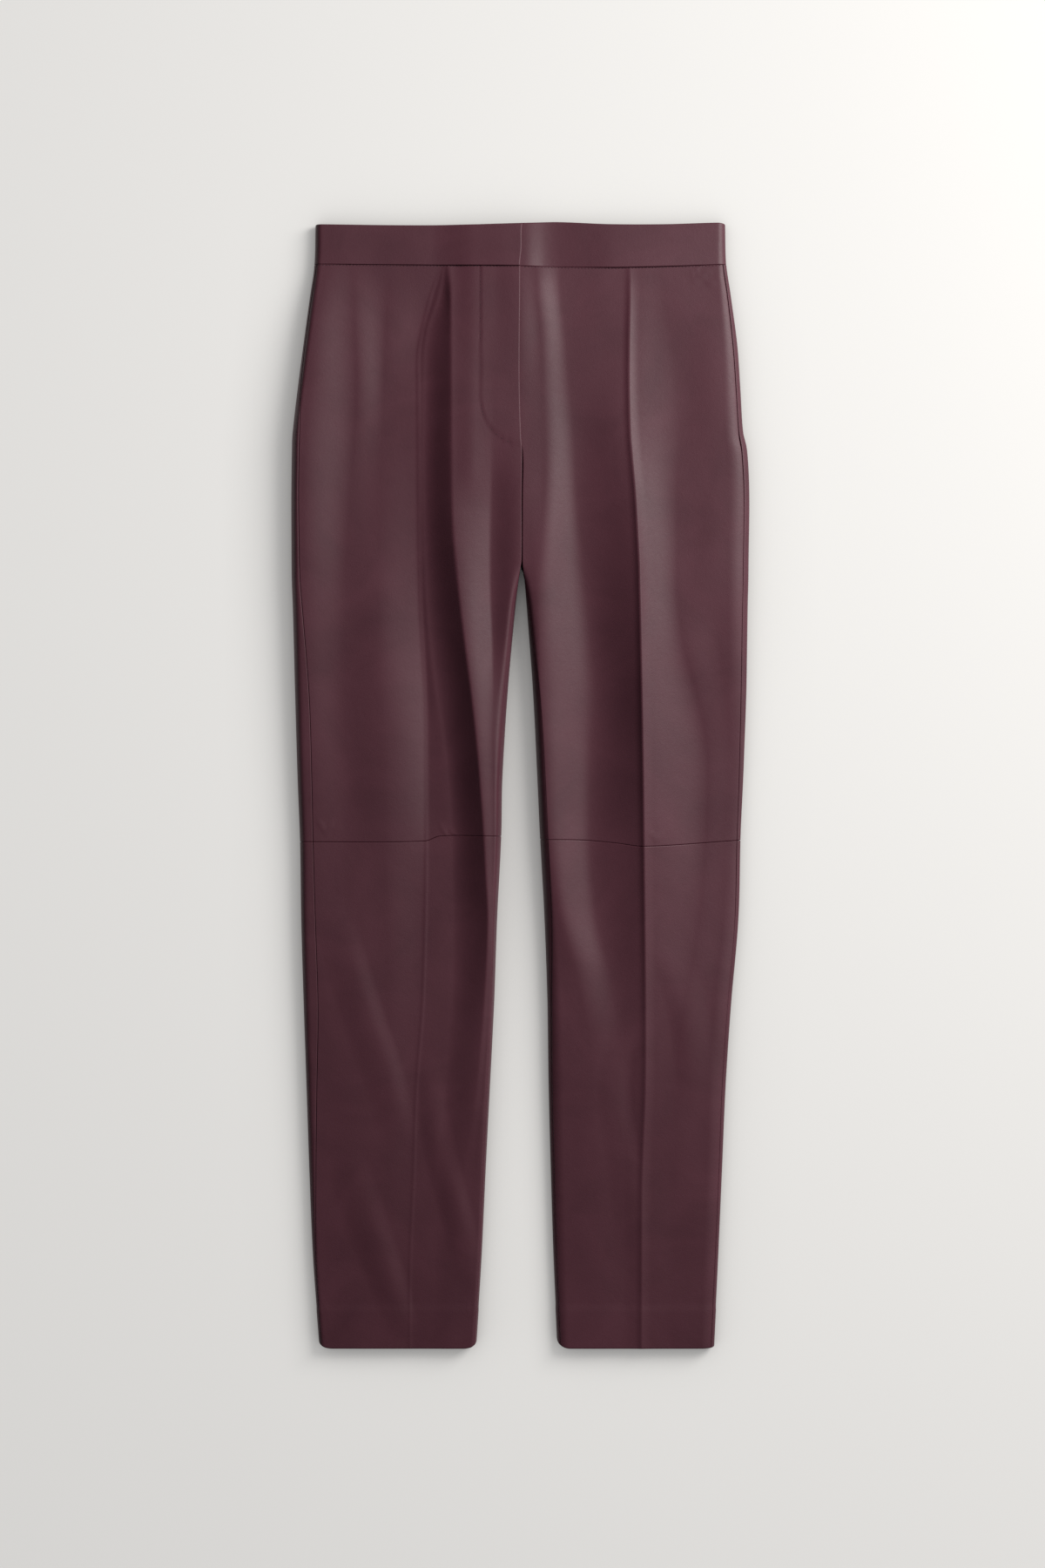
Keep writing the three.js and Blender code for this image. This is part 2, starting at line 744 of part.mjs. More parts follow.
// The strip behind the fly, carried on from the wearer's left front under the right one.
function flyShield() {
  const grid = fractions(8).map((share) => {
    const drop = lerp(BAND_DEPTH + 2.5, FLY_END - 3, share);
    const row = fractions(6).map((s) => {
      const across = lerp(FLY_TUCK + GAP, UNDERLAP, s);
      return [across, height(RIGHT, across, drop) - LEATHER - GAP];
    });
    return carriedOn(row).map(([across, z]) => place(RIGHT, across, drop, z));
  });
  return sheet("fly_shield", RIGHT.side, grid, () => LEATHER);
}

const trousers = new THREE.Group();
const crotchShare = (CROTCH - BAND_DEPTH) / (KNEE - BAND_DEPTH);
const thighRows = [
  ...fractions(9).map((s) => s * (crotchShare - 0.03)),
  crotchShare,
  ...fractions(8).map((s) => lerp(crotchShare + 0.03, 1, s)),
];
const hemShare = 1 - HEM_TURN / (LENGTH - KNEE);
const shinRows = [...fractions(8).map((s) => s * (hemShare - 0.004)), hemShare + 0.004, 0.97, 0.99, 1];
for (const leg of [RIGHT, LEFT]) {
  const whose = leg.side < 0 ? "right" : "left";
  const single = () => LEATHER;
  const [over, under] = [frontSection(leg), backPoints(leg)];
  trousers.add(
    band(`waistband_${whose}`, leg),
    panel(`front_thigh_${whose}`, leg, over, bandLine(leg), kneeAbove(leg), thighRows, single),
    panel(`front_shin_${whose}`, leg, over, kneeBelow(leg), hemLine(leg), shinRows, shinWall),
    panel(`back_thigh_${whose}`, leg, under, bandLine(leg), kneeAbove(leg), thighRows, single),
    panel(`back_shin_${whose}`, leg, under, kneeBelow(leg), hemLine(leg), shinRows, shinWall),
  );
}
trousers.add(flyShield());

export default trousers;
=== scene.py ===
# Leather trousers laid out flat: dressed panels, sewing, leather and a photo studio.
# Sizes are in metres once a piece is built; the tables are in millimetres, as a pattern cutter has them.
# "drop" runs down from the waistband's top edge, "across" runs from the centre line to a leg's outer side.
import math

import bpy
import numpy as np
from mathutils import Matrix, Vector


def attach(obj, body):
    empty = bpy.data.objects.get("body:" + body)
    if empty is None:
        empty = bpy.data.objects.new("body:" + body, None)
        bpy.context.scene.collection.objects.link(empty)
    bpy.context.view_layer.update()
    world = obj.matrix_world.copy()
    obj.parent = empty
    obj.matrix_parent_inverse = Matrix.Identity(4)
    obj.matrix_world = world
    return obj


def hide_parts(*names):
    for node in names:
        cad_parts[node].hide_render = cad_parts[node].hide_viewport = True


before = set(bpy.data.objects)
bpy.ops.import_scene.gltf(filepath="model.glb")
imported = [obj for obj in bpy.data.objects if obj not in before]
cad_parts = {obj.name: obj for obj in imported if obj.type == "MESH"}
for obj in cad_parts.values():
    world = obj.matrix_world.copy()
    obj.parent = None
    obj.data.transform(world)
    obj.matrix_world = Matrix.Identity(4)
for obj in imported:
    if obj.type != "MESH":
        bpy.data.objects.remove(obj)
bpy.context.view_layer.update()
print("frame loaded:", len(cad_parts), "nodes")

mm = 0.001
trouserLength = 1008.0
gap = 0.4          # between layers that lie on each other, and at the centre back
seamGap = 0.16     # between panels that are sewn edge to edge
leather = 1.2      # one layer
bandWall = 2.4     # the waistband is folded double
hemWall = 2.0      # turned up and pressed
hemTurn = 36.0
flyEnd = 201.0
crotch = 312.0
bandSeamDrop = 39.0
kneeDrop = 554.0
underlap = 36.0


def table(text):
    # a table with one heading row; returns each named column as an array
    rows = [line.split() for line in text.strip().splitlines()]
    return {name: np.array([float(row[i]) for row in rows[1:]]) for i, name in enumerate(rows[0])}


heights = table("""
drop  crown side
0     12.6  5.5
39    14    6
67    17    7
113   19.5  8
191   22    9.5
246   22    10
309   22    10
425   20.5  9.5
554   18.5  8.5
704   16.5  8
854   14.5  7
1008  13    6
""")

# Width over which each leg rolls down to its outer and its inner side
rightRolls = table("""
drop  outer inner
0     6     4
113   6.5   4
246   6.5   5
309   6.5   6
378   6.5   7
425   6.5   8
471   6.5   7
534   6.5   6
627   6     4.5
704   6     4.5
854   6     4.5
1008  5     4.5
""")
leftRolls = table("""
drop  outer inner
0     7     4
39    8     4
67    10    4
113   13    4
191   16    4
246   18    4
309   18    5
425   16    7
554   14    8
704   15    12
854   14    12
1008  12    10
""")

rightCut = table("""
drop  outer  crease inner outseam inseam
0     183.5  70     -2.2  2       0
39    184.5  71     -0.2  2       0
67    188.4  80     0     2       0
113   194.6  90.4   0.4   2       0
151   199.5  91     0.3   3.5     0
191   204    90.8   -0.8  7       0
207   204.5  90.7   -1.6  7       0
246   205    90.4   -1.3  7       0
304   204.8  89.9   -1.1  7.5     0
314   204.7  89.7   0.3   7.7     0
324   204.5  89.5   1.6   8       0.8
347   203.6  88.8   4.3   9       2
425   201.6  84.9   11.3  13      2.5
503   199.3  84.1   16    13      2.5
554   197.3  84     17    12      2.5
628   196.2  84.9   20.7  13      2.5
704   194    87.4   23.4  13      2.5
776   191.6  92.9   27    9.5     2.5
854   189    95.4   31    6       2.5
931   185.8  98.5   34.6  3       2.5
1008  180.2  98.8   39.4  2       2.5
""")

leftCut = table("""
drop  outer  crease inner outseam inseam
0     183.5  98     -1.6  3       0
39    184.5  98     -1.6  3       0
67    188.4  98     -1.6  3       0
113   194.4  97.2   -1.6  4       0
151   197    97.1   -1.6  4       0
191   199.5  98.2   -1.6  4       0
207   203    99.4   1.9   5       0
246   205    102.8  1.8   5       0
304   204.4  106    1.7   5       0
314   204.3  106.3  2.4   5       0
324   204.2  106.5  3.7   5       0.8
347   203.6  107    5.6   5       2
425   202.4  108.5  11.3  5       6
503   199.6  109.8  15.2  4       7
554   197.3  110.4  17.5  3.5     7
628   195.4  111.3  21.5  3.5     6.5
704   188.8  111.9  24.2  3.5     3.5
776   184    111.7  25.2  3.5     3
854   180.6  109    27.2  3       3
931   177.2  108.6  29.6  3       3
1008  173.5  108.4  33    3       3
""")

# The relief of each front, line by line from the centre front outwards. A line runs down the leg: where it
# lies across, how high the leather is there, and how sharply it is edged inwards and outwards. An edge
# of 0 is soft and one of 1 is pressed. A line without "across" is the pressed crease itself.
rightRelief = {
    "centre": table("""
drop across high
39   0      16
67   0      19
97   0      21.2
144  0      22.8
191  0      24.4
246  0      25.8
312  1      25.4
378  9      23
425  12     22.6
534  17     22
627  21     20.6
704  24     18
854  31     14.6
1008 39     12.6
"""),
    "flyHollow": table("""
drop across high outward
39   24     15.2 0
67   24     18.4 0
97   24     20.8 0
144  24     22.6 0.1
191  25     24   0.4
237  26     23.2 0.9
284  27     21.6 0.9
331  27     20.6 0.8
378  25     21   0.6
425  24     23   0.3
471  23.5   24.4 0
534  22.5   24.4 0
627  24     22.8 0
704  27     20   0
780  33     17.4 0
854  40     14.9 0
1008 50     12.7 0
"""),
    "pleatCrest": table("""
drop across high outward
39   64     14.6 0
67   62.5   18.6 1
113  62     22.6 0.8
191  61.5   26.4 0.6
246  61     27.6 0.6
284  59.5   28.2 0.7
331  55     28.2 0.8
378  49.5   28   0.9
425  43.5   27.6 0.9
471  38.5   27   0.8
534  33.5   26   0.8
580  31     25   0.8
627  29     23.8 0.8
704  33     21   0.5
780  40     18   0.2
854  50     15   0
1008 62     12.8 0
"""),
    "pleatFoot": table("""
drop across high
39   68     14
67   72     14.6
97   83     15
144  86     16
191  87     16.6
246  87     16.8
284  86     16.4
331  84     15.6
378  80     14.4
425  74     13.8
471  67     13.2
534  62     12.8
580  61     13
627  60     13.2
704  62     13.6
780  68     13.7
854  74     13.5
1008 80     12.4
"""),
    "crease": table("""
drop high outward
39   13.6 0
58   13.4 0
67   13.4 0
97   14   0
144  15.4 0.1
191  16   0.2
246  16.2 0.3
309  15.2 0.5
378  13.4 0.8
425  12.4 1
471  12   1
534  12   0.9
580  12.8 0.5
627  13.2 0.2
704  13.4 0
780  13.4 0
854  13.3 0
1008 12.2 0
"""),
    "hipHollow": table("""
drop across high
39   120    13.6
67   119    14.6
97   120    15.6
144  122    15.9
191  123    16.2
246  125    17.6
309  126    19
378  126    19.8
425  124    20
471  122    19.6
534  120    18.2
580  121    16.6
627  120    15.8
704  118    15
854  118    13.8
1008 118    12.3
"""),
    "outerFoot": table("""
drop across high
39   150    13.8
67   149    16.6
97   148    18.8
144  146    19
191  148    18
246  152    18
309  156    18.4
378  158    18.4
425  158    18
471  157    17.6
534  155    16.8
627  152    16
704  150    15.4
854  146    13.8
1008 140    12.3
"""),
    "outerCrest": table("""
drop across high
39   172    14.4
67   178    18.8
97   184    22.6
144  188    24.6
191  192    25
246  194    24.2
309  194    23.4
378  193    22
425  191    20.8
471  190    19.8
534  188    18.4
627  185    17
704  180    15.6
854  170    13.6
1008 160    12.2
"""),
}
leftRelief = {
    "centre": table("""
drop across high
39   0      16
67   0      19
97   0      21.2
144  0      22.8
191  0      24.4
246  0      25.8
312  2      25.4
378  9      24
425  12     23.6
534  17     22.6
627  21.5   20
704  24     18
822  27     14.6
1008 33     12.6
"""),
    "innerCrest": table("""
drop across high
39   14     15.6
67   15     18
97   18     19.6
144  20     21.8
190  22     23.6
237  22     25
284  19     26.2
331  16     26.6
378  17     26.2
425  19     25.2
471  22     24.8
534  25     23.8
580  30     22.8
627  38     21.6
674  50     19.4
736  62     17.4
799  66     16
854  68     14.8
1008 68     12.8
"""),
    "trough": table("""
drop across high inward
39   36     13.4 0
58   36     13.6 0
97   40     15.8 0
144  44     18.2 0
191  48     18.8 0
237  50     18.2 0
284  54     16.8 0
331  58     15.2 0
378  62     14.2 0
424  65     13.8 0
471  63     13.4 0
534  62     13.2 0
580  64     13.6 0
627  69     14   0
674  80     15   0
736  89     15.9 0
799  92     15   0
854  92     14.2 0
1008 92     12.6 0
"""),
    "crease": table("""
drop high inward outward
39   13.6 0      0
58   14.8 0      0
97   17.4 0      0.2
144  20.8 0.1    0.4
190  23.2 0.2    0.6
237  25.2 0.4    0.6
284  26.8 0.6    0.6
331  27.6 0.7    0.6
378  27.6 0.7    0.5
424  27.6 0.8    0.4
471  27.2 0.9    0.3
534  25.8 0.8    0.3
580  23.6 0.8    0.4
627  21.4 0.8    0.5
674  19.6 0.7    0.5
736  18.2 0.5    0.5
799  16.6 0.4    0.4
854  15.4 0.4    0.4
1008 13.2 0.4    0.4
"""),
    "valley": table("""
drop across high
39   126    13
67   128    14.4
97   134    15.4
144  140    16.6
191  142    17.2
237  140    18
284  140    18.2
331  140    19
378  146    18.6
424  158    15
471  167    12
534  167    11.4
580  164    12.4
627  160    13.6
674  152    15.6
736  142    16.2
799  140    15.4
854  138    14.2
1008 138    12.4
"""),
    "outerCrest": table("""
drop across high
39   168    12.8
67   172    14.4
97   176    16
144  180    17.8
191  180    18.6
237  180    18.8
284  178    19
331  176    19.2
378  178    16.8
424  184    13.6
471  188    11.2
534  188    10.8
580  186    11.6
627  182    12.8
704  172    15
854  162    14.2
1008 155    12.4
"""),
}

# The crease's own fine ridge, on top of the relief
ridge = table("""
drop lift
39   0.4
67   1.2
113  1.6
425  1.7
704  1.3
1008 0.9
""")

# Slanting swells on the shins, where the leather has been smoothed down by hand
rightSwells = {
    "upperShin": table("""
drop across lift inward outward
600  168    0    16     22
680  146    1.3  17     26
760  120    1.3  17     26
830  102    0    14     20
"""),
    "lowerShin": table("""
drop across lift inward outward
820  158    0    16     24
900  132    1.1  18     26
960  112    1.1  16     22
1000 102    0    14     20
"""),
    "innerShin": table("""
drop across lift inward outward
740  84     0    12     10
830  72     1.1  16     16
900  52     1.0  14     18
960  44     0    10     14
"""),
}
leftSwells = {
    "kneeDrag": table("""
drop across lift inward outward
700  100    0    12     10
770  86     1.0  18     14
850  96     0.8  20     14
930  104    0    18     12
"""),
    "outerShin": table("""
drop across lift inward outward
640  128    0    16     24
720  150    0.9  18     24
820  162    0    18     20
"""),
}

# Small puckers by the seams: a short ridge at a place, leaning from the upright
rightPuckers = table("""
across drop lean length width lift
177    541  -40  10     2.6   0.35
170    542  30   9      2.4   0.3
163    543  55   8      2.2   0.25
69     544  -35  9      2.6   0.35
61     546  -60  8      2.2   0.25
""")
leftPuckers = table("""
across drop lean length width lift
163    48   -62  16     3.0   0.5
172    54   -70  14     2.6   0.45
156    44   -50  9      2.2   0.3
118    549  50   9      2.4   0.25
124    551  -50  8      2.2   0.25
""")

# How far the waistband's front stands above the crown line
rightBand = table("""
across high
0      2.6
16     2.4
38     1.4
60     0.7
96     0.9
130    0.4
160    0.8
184    0.6
""")
leftBand = table("""
across high
-36    1.1
-16    2.1
0      2.3
8      1.9
22     -1.2
34     -1.8
56     -0.4
84     1.4
130    0.6
184    -1.6
""")

# The right front laps over the left one, so "lap" is 1 there
rightLeg = {
    "name": "right", "side": -1, "lap": 1,
    "cut": rightCut, "rolls": rightRolls, "relief": rightRelief,
    "swells": rightSwells, "puckers": rightPuckers,
    "ridgeShare": 0.25, "ridgeInward": 3, "ridgeOutward": 3, "hemLiftOuter": 6, "hemLiftInner": 6,
    "kneeLine": table("across drop\n17 549.5\n72 549.5\n86 554\n200 554.5"),
    "bandTop": table("across drop\n0 2\n90 3\n184 2"),
    "bandSeam": table("across drop\n0 39.8\n90 38.8\n184 38"),
    "bandRelief": rightBand,
}
leftLeg = {
    "name": "left", "side": 1, "lap": 0,
    "cut": leftCut, "rolls": leftRolls, "relief": leftRelief,
    "swells": leftSwells, "puckers": leftPuckers,
    "ridgeShare": 0.9, "ridgeInward": 6, "ridgeOutward": 9, "hemLiftOuter": 1.5, "hemLiftInner": 8,
    "kneeLine": table("across drop\n17 552.5\n55 553\n84 555.5\n111 558.5\n200 553"),
    "bandTop": table("across drop\n-36 2\n8 0.8\n34 0\n80 2\n130 2\n177 0.5\n184 1.2"),
    "bandSeam": table("across drop\n-36 38.9\n-16 39.4\n0 39.8\n80 41\n130 40\n184 38"),
    "bandRelief": leftBand,
}


def curveAt(source, column, place, key="drop"):
    # smooth curve through the rows: cubic Hermite, with each row's slope taken from its neighbours
    keys, values = source[key], source[column]
    slopes = np.gradient(values, keys) if len(keys) > 2 else np.full(2, np.diff(values)[0] / np.diff(keys)[0])
    slopes[1:-1] = (values[2:] - values[:-2]) / (keys[2:] - keys[:-2])
    i = np.clip(np.searchsorted(keys, place, side="left") - 1, 0, len(keys) - 2)
    span = keys[i + 1] - keys[i]
    t = np.clip((place - keys[i]) / span, 0, 1)
    back = 1 - t
    return (back * back * ((1 + 2 * t) * values[i] + t * span * slopes[i])
            + t * t * ((3 - 2 * t) * values[i + 1] - back * span * slopes[i + 1]))


def valueAt(source, column, drop):
    # the same curve at one place
    return float(curveAt(source, column, np.array([drop]))[0])


def quarter(share):
    # a quarter of an ellipse: 0 at an edge, 1 from a share of 1 on
    left = 1 - np.clip(share, 0, 1)
    return np.sqrt(1 - left * left)


def ease(x, low, high):
    # a soft S from 0 at low to 1 at high: 3 t^2 - 2 t^3
    t = np.clip((x - low) / (high - low), 0, 1)
    return t * t * (3 - 2 * t)


def foldLift(fold, across, drop):
    # lift * (1 - u^2)^2, where u runs from -1 to 1 across the fold's two slopes
    away = across - curveAt(fold, "across", drop)
    width = np.where(away > 0, curveAt(fold, "outward", drop), curveAt(fold, "inward", drop))
    u = np.clip(np.abs(away) / np.maximum(width, 1), 0, 1)
    inside = (drop > fold["drop"][0]) & (drop < fold["drop"][-1])
    return np.where(inside, curveAt(fold, "lift", drop) * (1 - u * u) ** 2, 0)


def puckerLift(puckers, across, drop):
    # each pucker is a small mound, long one way and narrow the other
    lift = 0
    for i, lean in enumerate(np.radians(puckers["lean"])):
        x, y = across - puckers["across"][i], drop - puckers["drop"][i]
        along = (x * math.sin(lean) + y * math.cos(lean)) / puckers["length"][i]
        beside = (x * math.cos(lean) - y * math.sin(lean)) / puckers["width"][i]
        reach = np.clip(along * along + beside * beside, 0, 1)
        lift = lift + puckers["lift"][i] * (1 - reach) ** 2
    return lift


def ripple(leg, across, drop):
    # faint unevenness of a hide that has been handled: a few slanting waves of unlike length
    s = leg["side"]
    waves = (0.15 * np.sin(across / 17.0 + drop / 61.0 + s) * np.sin(drop / 83.0 + 2 * s)
             + 0.08 * np.sin(across / 9.5 - drop / 47.0 + 1.7 * s) * np.sin(drop / 37.0 + s)
             + 0.04 * np.sin(across / 6.1 + drop / 29.0 + 0.4 * s))
    return waves * ease(across, 4, 24)


# How a pressed edge steepens, and the least width of the slope between two lines
pressed = {"steepness": 1.8, "leastWidth": 3}


def reliefHeight(leg, across, drop):
    # between two lines the height follows a soft S, mixed with a curve that steepens up to a pressed edge
    def column(line, name, missing=0.0):
        return curveAt(line, name, drop) if name in line else missing

    lines = list(leg["relief"].values())
    places = [column(line, "across", curveAt(leg["cut"], "crease", drop)) for line in lines]
    highs = [column(line, "high") for line in lines]
    z = highs[0]
    for i in range(len(lines) - 1):
        width = np.maximum(places[i + 1] - places[i], pressed["leastWidth"])
        t = np.clip((across - places[i]) / width, 0, 1)
        soft = t * t * (3 - 2 * t)
        toEdge = np.clip(column(lines[i + 1], "inward"), 0, 1) * (t ** pressed["steepness"] - soft)
        fromEdge = np.clip(column(lines[i], "outward"), 0, 1) * (1 - (1 - t) ** pressed["steepness"] - soft)
        z = np.where(across > places[i], highs[i] + (highs[i + 1] - highs[i]) * (soft + toEdge + fromEdge), z)
    return z


# The fly: straight row of stitching beside the opening, then a curve in to its lower end
fly = {
    "stitchAcross": 35.5, "curveFrom": 158.0, "curveTo": 200.0, "overhang": 1,
    "facing": 0.35, "edgeBlend": 0.8, "groove": 0.3, "grooveWidth": 1.3,
    "lapFrom": 40, "lapTo": 60, "fadeFrom": 12, "fadeTo": 60,
}
legParting = {"above": 8, "below": 40}  # round the crotch, where the inner edges start to roll down


def insideFly(across, drop):
    # distance in from the fly's row of stitching; negative outside it
    reach = fly["curveTo"] - fly["curveFrom"]
    x = np.maximum(across + fly["overhang"], 0) / (fly["stitchAcross"] + fly["overhang"])
    y = np.maximum(drop - fly["curveFrom"], 0) / reach
    return (1 - np.sqrt(x * x + y * y)) * fly["stitchAcross"]


def flyRelief(across, drop):
    # the facing lifts what lies inside the row of stitching, and the row itself pulls a groove
    inside = insideFly(across, drop)
    groove = np.clip(1 - np.abs(inside) / fly["grooveWidth"], 0, 1)
    return fly["facing"] * ease(inside, -fly["edgeBlend"], fly["edgeBlend"]) - fly["groove"] * groove * groove


def topHeight(leg, across, drop):
    # the front's outer face: relief, crease and swells, rolled down at the sides by quarter ellipses
    side = curveAt(heights, "side", drop)
    top = reliefHeight(leg, across, drop)
    fromCrease = across - curveAt(leg["cut"], "crease", drop)
    flank = np.where(fromCrease > 0, leg["ridgeOutward"], leg["ridgeInward"])
    nearCrease = 1 - np.clip(np.abs(fromCrease) / flank, 0, 1)
    top = top + leg["ridgeShare"] * curveAt(ridge, "lift", drop) * nearCrease ** 2
    for swell in leg["swells"].values():
        top = top + foldLift(swell, across, drop)
    top = top + puckerLift(leg["puckers"], across, drop) + ripple(leg, across, drop)
    if leg["lap"]:
        nearFly = 1 - ease(across, fly["lapFrom"], fly["lapTo"])
        nearFly = nearFly * (1 - ease(drop, flyEnd + fly["fadeFrom"], flyEnd + fly["fadeTo"]))
        top = top + (leather + gap) * nearFly + flyRelief(across, drop)
    fromOuter = curveAt(leg["cut"], "outer", drop) - across
    fromInner = across - curveAt(leg["cut"], "inner", drop)
    parted = ease(drop, crotch - legParting["above"], crotch + legParting["below"])
    innerEdge = 1 - parted * (1 - quarter(fromInner / curveAt(leg["rolls"], "inner", drop)))
    return side + (top - side) * quarter(fromOuter / curveAt(leg["rolls"], "outer", drop)) * innerEdge


def graded(length, start, end, middle):
    # places from 0 to length, close together at either end that has a seam
    near = np.array([0, 0.12, 0.3, 0.55, 0.9, 1.4, 2.2, 3.4])
    head = near if start else np.array([0.0])
    tail = length - near[::-1] if end else np.array([length])
    inner = np.linspace(head[-1], tail[0], max(2, int(round((tail[0] - head[-1]) / middle)) + 1))[1:-1]
    return np.concatenate([head, inner, tail]) / length


def surfaceNormals(points, side):
    # cross product of the two grid directions, pointing out of the leather
    du = np.gradient(points, axis=1)
    dv = np.gradient(points, axis=0)
    n = np.cross(dv, du) * side
    return n / np.maximum(np.linalg.norm(n, axis=2, keepdims=True), 1e-9)


def makeMesh(name, points, faces, material):
    # points in millimetres; every face has the same number of corners
    mesh = bpy.data.meshes.new(name)
    mesh.vertices.add(len(points))
    mesh.vertices.foreach_set("co", (points * mm).astype(np.float32).ravel())
    mesh.loops.add(faces.size)
    mesh.loops.foreach_set("vertex_index", faces.astype(np.int32).ravel())
    mesh.polygons.add(len(faces))
    mesh.polygons.foreach_set("loop_start", np.arange(0, faces.size, faces.shape[1], dtype=np.int32))
    mesh.update(calc_edges=True)
    mesh.polygons.foreach_set("use_smooth", np.ones(len(faces), bool))
    mesh.materials.append(material)
    piece = bpy.data.objects.new(name, mesh)
    bpy.context.scene.collection.objects.link(piece)
    return piece


def shellMesh(name, outer, inner, side, material):
    # joins an outer and an inner grid of points into one closed wall
    rows, columns = outer.shape[:2]
    index = np.arange(rows * columns).reshape(rows, columns)
    a, b, c, d = index[:-1, :-1], index[:-1, 1:], index[1:, 1:], index[1:, :-1]
    under = rows * columns
    quads = [np.stack([a, d, c, b], -1).reshape(-1, 4), np.stack([a, b, c, d], -1).reshape(-1, 4) + under]
    rim = np.concatenate([index[0, :], index[1:, -1], index[-1, -2::-1], index[-2:0:-1, 0]])
    nextRim = np.roll(rim, -1)
    quads.append(np.stack([rim, nextRim, nextRim + under, rim + under], -1))
    faces = np.concatenate(quads)
    if side < 0:
        faces = faces[:, ::-1]
    return makeMesh(name, np.concatenate([outer.reshape(-1, 3), inner.reshape(-1, 3)]), faces, material)


def toPlace(leg, across, drop, z):
    # from the leg's own measures to the frame's x, y and z
    return np.stack([leg["side"] * across, trouserLength / 2 - drop, z], -1)


def bandLine(leg, across):
    # top edge of the panels, under the waistband
    return curveAt(leg["bandSeam"], "drop", across, "across") + seamGap / 2


def aboveKnee(leg, across):
    # lower edge of the thigh's panels
    return curveAt(leg["kneeLine"], "drop", across, "across") - seamGap / 2


def belowKnee(leg, across):
    # top edge of the shin's panels
    return curveAt(leg["kneeLine"], "drop", across, "across") + seamGap / 2


def hemLine(leg, across):
    # the hem is straight, and rounds up by a quarter ellipse at either side
    rounding = 12
    outer = valueAt(leg["cut"], "outer", trouserLength)
    inner = valueAt(leg["cut"], "inner", trouserLength)
    corner = (leg["hemLiftOuter"] * (1 - quarter((outer - across) / rounding))
              + leg["hemLiftInner"] * (1 - quarter((across - inner) / rounding)))
    return trouserLength - corner


def rollIn(distance, radius):
    # how far a turned edge curls in, at a distance from it
    return radius * (1 - quarter(distance / radius))


panel = {
    "acrossStep": 1.5, "dropStep": 3.2, "centreWidth": 88.0, "outerWidth": 108.0, "middle": 90.0, "passes": 4,
    "seamRoll": 0.6, "openRoll": 1.0, "hemRoll": 1.1, "deepestRoll": 0.8,
    "hemPrint": 0.28, "hemPrintWidth": 1.2, "hemBlend": 1, "hemClear": 1.5,
}


def panelLength(leg, upper, lower):
    # from one line to the other, down the middle of the leg
    middle = np.array([panel["middle"]])
    return float(lower(leg, middle)[0] - upper(leg, middle)[0])


def panelGrid(leg, section, upper, lower, columns, rows):
    # rows lie between the upper and lower lines; each point's drop follows its own place across
    share = rows[:, None]
    across = np.full((len(rows), len(columns)), panel["middle"])
    for _ in range(panel["passes"]):
        drop = upper(leg, across) + (lower(leg, across) - upper(leg, across)) * share
        across, z = section(drop)
    return across, drop, z


def frontPanel(name, leg, upper, lower, hem, material):
    # columns run from the inner edge to the crease, and from the crease to the outseam
    left = graded(panel["centreWidth"], True, False, panel["acrossStep"])
    right = graded(panel["outerWidth"], False, True, panel["acrossStep"])
    columns = np.concatenate([left, 1 + right[1:]])

    def section(drop):
        cut = leg["cut"]
        start = curveAt(cut, "inner", drop) + curveAt(cut, "inseam", drop) + seamGap / 2
        crease = curveAt(cut, "crease", drop)
        end = curveAt(cut, "outer", drop) - curveAt(cut, "outseam", drop) - seamGap / 2
        u = np.broadcast_to(columns, drop.shape)
        across = np.where(u < 1, start + (crease - start) * u, crease + (end - crease) * (u - 1))
        return across, topHeight(leg, across, drop)

    length = panelLength(leg, upper, lower)
    rows = graded(length, True, True, panel["dropStep"])
    across, drop, z = panelGrid(leg, section, upper, lower, columns, rows)
    outer = toPlace(leg, across, drop, z)
    fromTop = rows[:, None] * length * np.ones_like(across)
    fromSides = np.minimum(columns * panel["centreWidth"], (2 - columns) * panel["outerWidth"])
    fromSides = fromSides[None, :] * np.ones_like(across)
    openEdge = leg["lap"] * (columns < 1)[None, :] * (drop < flyEnd)
    return dressPanel(name, leg, outer, drop, fromTop, length - fromTop, fromSides, hem, material, openEdge)


def dressPanel(name, leg, outer, drop, fromTop, fromBottom, fromSides, hem, material, openEdge=0):
    # the outer face is let in along its normal at each seam, and the wall is thicker at a turned-up hem
    normal = surfaceNormals(outer, leg["side"])
    sideRoll = panel["seamRoll"] + (panel["openRoll"] - panel["seamRoll"]) * openEdge
    sink = rollIn(fromTop, panel["seamRoll"]) + rollIn(fromSides, sideRoll)
    sink = sink + rollIn(fromBottom, panel["hemRoll"] if hem else panel["seamRoll"])
    if hem:
        turned = trouserLength - hemTurn
        sink = sink - panel["hemPrint"] * ease(drop, turned - panel["hemPrintWidth"], turned)
        inTurning = ease(drop, turned - panel["hemBlend"], turned + panel["hemBlend"])
        wall = leather + (hemWall - leather) * inTurning
        wall = np.where(fromSides > panel["hemClear"], wall, leather)
    else:
        wall = np.full_like(drop, leather)
    inner = outer - normal * wall[..., None]
    outer = outer - normal * np.minimum(sink, leather * panel["deepestRoll"])[..., None]
    return shellMesh(name, outer, inner, leg["side"], material)


# The backs: where the inner side starts to rise and to part round the crotch, and the steps of each bend
backTurn = {
    "riseFrom": 45, "partFrom": 2, "partTo": 10,
    "rollSteps": 15, "bendSteps": 15, "wrapSteps": 13, "lipSteps": 6,
}
backGrid = {
    "innerReach": 24.0, "clear": 2.2, "rolls": 16, "flats": 22, "wraps": 14, "rowShare": 1.5, "offSeam": 9.0,
}


